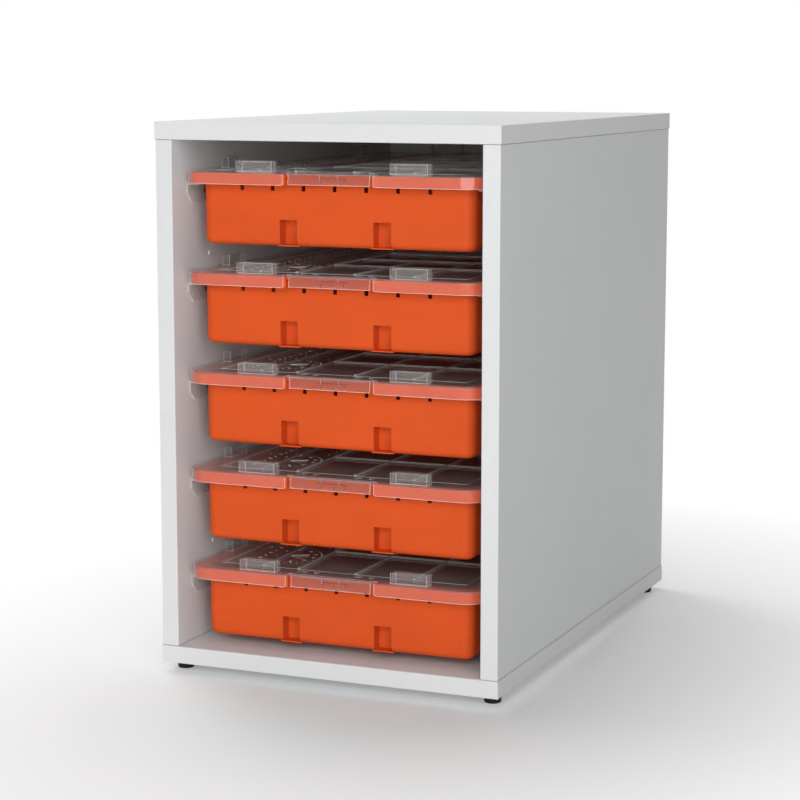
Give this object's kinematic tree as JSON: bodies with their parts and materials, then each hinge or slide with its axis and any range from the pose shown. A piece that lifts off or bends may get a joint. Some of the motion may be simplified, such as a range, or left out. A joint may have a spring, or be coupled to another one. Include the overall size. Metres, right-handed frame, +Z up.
{
  "type": "classroom tray storage unit",
  "caption": "White open-fronted cabinet on levelling feet, with a column of shallow orange trays under clear latching lids that slide on clear runners.",
  "frame": {"origin": "on the floor under the middle of the cabinet: middle of the bounding box in X and Y, and the undersides of the feet in Z", "axes": "+X to the right as seen from the front, -Y out of the open front, +Z up"},
  "size_m": [0.37, 0.562, 0.565],
  "materials": {
    "white_board": "white melamine-faced chipboard, fine matt grain",
    "back_board": "thin white-faced board",
    "white_edging": "white plastic edging, satin",
    "white_plastic": "satin moulded plastic",
    "dowel_wood": "plain beech",
    "runner_plastic": "clear moulded plastic",
    "lid_plastic": "clear polished plastic",
    "tray_plastic": "orange moulded plastic, satin",
    "bright_steel": "zinc-plated steel",
    "insert_brass": "turned brass",
    "foot_plastic": "black moulded plastic"
  },
  "bodies": {
    "cabinet": {"top_panel": "white_board", "bottom_panel": "white_board", "left_side_panel": "white_board", "right_side_panel": "white_board", "back_panel": "back_board", "top_panel_edging": "white_edging", "bottom_panel_edging": "white_edging", "left_side_edging": "white_edging", "right_side_edging": "white_edging", "back_screws": "bright_steel", "panel_dowels": "dowel_wood", "hole_cover_caps": "white_plastic", "runner_screws": "bright_steel", "foot_inserts": "insert_brass", "left_runner_1": "runner_plastic", "right_runner_1": "runner_plastic", "left_runner_2": "runner_plastic", "right_runner_2": "runner_plastic", "left_runner_3": "runner_plastic", "right_runner_3": "runner_plastic", "left_runner_4": "runner_plastic", "right_runner_4": "runner_plastic", "left_runner_5": "runner_plastic", "right_runner_5": "runner_plastic"},
    "tray_1": {"tray_tub_1": "tray_plastic"},
    "lid_1": {"tray_lid_1": "lid_plastic"},
    "front_latch_1_tab": {"front_latch_1": "lid_plastic"},
    "rear_latch_1_tab": {"rear_latch_1": "lid_plastic"},
    "tray_2": {"tray_tub_2": "tray_plastic"},
    "lid_2": {"tray_lid_2": "lid_plastic"},
    "front_latch_2_tab": {"front_latch_2": "lid_plastic"},
    "rear_latch_2_tab": {"rear_latch_2": "lid_plastic"},
    "tray_3": {"tray_tub_3": "tray_plastic"},
    "lid_3": {"tray_lid_3": "lid_plastic"},
    "front_latch_3_tab": {"front_latch_3": "lid_plastic"},
    "rear_latch_3_tab": {"rear_latch_3": "lid_plastic"},
    "tray_4": {"tray_tub_4": "tray_plastic"},
    "lid_4": {"tray_lid_4": "lid_plastic"},
    "front_latch_4_tab": {"front_latch_4": "lid_plastic"},
    "rear_latch_4_tab": {"rear_latch_4": "lid_plastic"},
    "tray_5": {"tray_tub_5": "tray_plastic"},
    "lid_5": {"tray_lid_5": "lid_plastic"},
    "front_latch_5_tab": {"front_latch_5": "lid_plastic"},
    "rear_latch_5_tab": {"rear_latch_5": "lid_plastic"},
    "foot_front_left": {"foot_stud_front_left": "bright_steel", "foot_pad_front_left": "foot_plastic"},
    "foot_front_right": {"foot_stud_front_right": "bright_steel", "foot_pad_front_right": "foot_plastic"},
    "foot_rear_left": {"foot_stud_rear_left": "bright_steel", "foot_pad_rear_left": "foot_plastic"},
    "foot_rear_right": {"foot_stud_rear_right": "bright_steel", "foot_pad_rear_right": "foot_plastic"}
  },
  "joints": [
    {"name": "tray_1_slide", "type": "slide", "parent": "cabinet", "child": "tray_1", "axis": [0, -1, 0], "range_m": [0, 0.56]},
    {"name": "lid_1_lift", "type": "slide", "parent": "tray_1", "child": "lid_1", "axis": [0, 0, 1], "range_m": [0, 0.0125]},
    {"name": "front_latch_1_hinge", "type": "hinge", "parent": "lid_1", "child": "front_latch_1_tab", "pos_m": [0, -0.26015, 0.51515], "axis": [-1, 0, 0], "range_deg": [0, 10], "stiffness_Nm_per_rad": 0.2},
    {"name": "rear_latch_1_hinge", "type": "hinge", "parent": "lid_1", "child": "rear_latch_1_tab", "pos_m": [0, 0.26015, 0.51515], "axis": [1, 0, 0], "range_deg": [0, 10], "stiffness_Nm_per_rad": 0.2},
    {"name": "tray_2_slide", "type": "slide", "parent": "cabinet", "child": "tray_2", "axis": [0, -1, 0], "range_m": [0, 0.56]},
    {"name": "lid_2_lift", "type": "slide", "parent": "tray_2", "child": "lid_2", "axis": [0, 0, 1], "range_m": [0, 0.0125]},
    {"name": "front_latch_2_hinge", "type": "hinge", "parent": "lid_2", "child": "front_latch_2_tab", "pos_m": [0, -0.26015, 0.4139], "axis": [-1, 0, 0], "range_deg": [0, 10], "stiffness_Nm_per_rad": 0.2},
    {"name": "rear_latch_2_hinge", "type": "hinge", "parent": "lid_2", "child": "rear_latch_2_tab", "pos_m": [0, 0.26015, 0.4139], "axis": [1, 0, 0], "range_deg": [0, 10], "stiffness_Nm_per_rad": 0.2},
    {"name": "tray_3_slide", "type": "slide", "parent": "cabinet", "child": "tray_3", "axis": [0, -1, 0], "range_m": [0, 0.56]},
    {"name": "lid_3_lift", "type": "slide", "parent": "tray_3", "child": "lid_3", "axis": [0, 0, 1], "range_m": [0, 0.0125]},
    {"name": "front_latch_3_hinge", "type": "hinge", "parent": "lid_3", "child": "front_latch_3_tab", "pos_m": [0, -0.26015, 0.31265], "axis": [-1, 0, 0], "range_deg": [0, 10], "stiffness_Nm_per_rad": 0.2},
    {"name": "rear_latch_3_hinge", "type": "hinge", "parent": "lid_3", "child": "rear_latch_3_tab", "pos_m": [0, 0.26015, 0.31265], "axis": [1, 0, 0], "range_deg": [0, 10], "stiffness_Nm_per_rad": 0.2},
    {"name": "tray_4_slide", "type": "slide", "parent": "cabinet", "child": "tray_4", "axis": [0, -1, 0], "range_m": [0, 0.56]},
    {"name": "lid_4_lift", "type": "slide", "parent": "tray_4", "child": "lid_4", "axis": [0, 0, 1], "range_m": [0, 0.0125]},
    {"name": "front_latch_4_hinge", "type": "hinge", "parent": "lid_4", "child": "front_latch_4_tab", "pos_m": [0, -0.26015, 0.2114], "axis": [-1, 0, 0], "range_deg": [0, 10], "stiffness_Nm_per_rad": 0.2},
    {"name": "rear_latch_4_hinge", "type": "hinge", "parent": "lid_4", "child": "rear_latch_4_tab", "pos_m": [0, 0.26015, 0.2114], "axis": [1, 0, 0], "range_deg": [0, 10], "stiffness_Nm_per_rad": 0.2},
    {"name": "tray_5_slide", "type": "slide", "parent": "cabinet", "child": "tray_5", "axis": [0, -1, 0], "range_m": [0, 0.56]},
    {"name": "lid_5_lift", "type": "slide", "parent": "tray_5", "child": "lid_5", "axis": [0, 0, 1], "range_m": [0, 0.0125]},
    {"name": "front_latch_5_hinge", "type": "hinge", "parent": "lid_5", "child": "front_latch_5_tab", "pos_m": [0, -0.26015, 0.11015], "axis": [-1, 0, 0], "range_deg": [0, 10], "stiffness_Nm_per_rad": 0.2},
    {"name": "rear_latch_5_hinge", "type": "hinge", "parent": "lid_5", "child": "rear_latch_5_tab", "pos_m": [0, 0.26015, 0.11015], "axis": [1, 0, 0], "range_deg": [0, 10], "stiffness_Nm_per_rad": 0.2},
    {"name": "foot_front_left_turn", "type": "hinge", "parent": "cabinet", "child": "foot_front_left", "pos_m": [-0.1705, -0.256, 0.01], "axis": [0, 0, -1], "range_deg": [0, 2880]},
    {"name": "foot_front_right_turn", "type": "hinge", "parent": "cabinet", "child": "foot_front_right", "pos_m": [0.1705, -0.256, 0.01], "axis": [0, 0, -1], "range_deg": [0, 2880]},
    {"name": "foot_rear_left_turn", "type": "hinge", "parent": "cabinet", "child": "foot_rear_left", "pos_m": [-0.1705, 0.256, 0.01], "axis": [0, 0, -1], "range_deg": [0, 2880]},
    {"name": "foot_rear_right_turn", "type": "hinge", "parent": "cabinet", "child": "foot_rear_right", "pos_m": [0.1705, 0.256, 0.01], "axis": [0, 0, -1], "range_deg": [0, 2880]}
  ]
}
